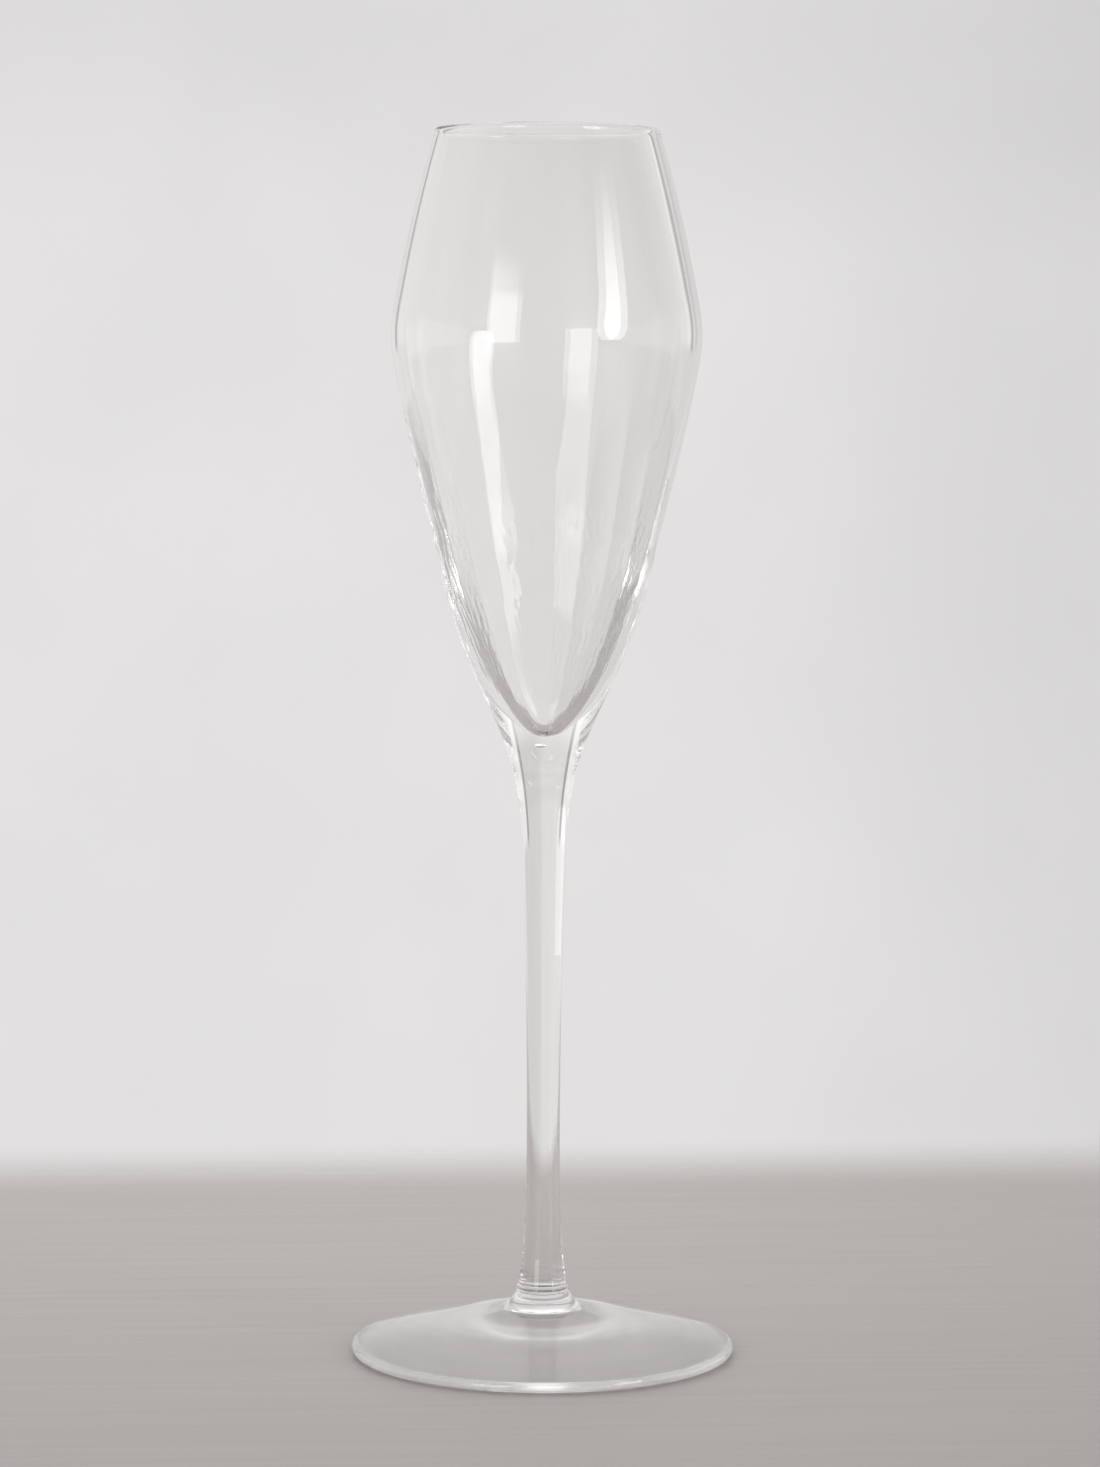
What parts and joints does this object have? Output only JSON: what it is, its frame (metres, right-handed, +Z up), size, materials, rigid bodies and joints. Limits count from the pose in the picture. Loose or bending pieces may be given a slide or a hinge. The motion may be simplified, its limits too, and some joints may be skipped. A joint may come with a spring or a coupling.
{
  "type": "champagne flute",
  "caption": "Tall tulip champagne flute in clear hand-blown glass: pointed bowl narrowing to the rim, thick tapered base, drawn stem, small collar and domed round foot.",
  "frame": {"origin": "centre of the foot's resting plane, on the glass's own axis", "axes": "+Z up along the axis from foot to rim; the glass is round, so +X and +Y are any two directions across it"},
  "size_m": [0.075, 0.075, 0.238],
  "materials": {
    "bowl_glass": "clear fire-polished glass",
    "stem_glass": "clear drawn glass",
    "foot_glass": "clear pressed glass"
  },
  "bodies": {
    "root": {"bowl": "bowl_glass", "stem": "stem_glass", "foot_collar": "stem_glass", "foot": "foot_glass"}
  },
  "joints": []
}
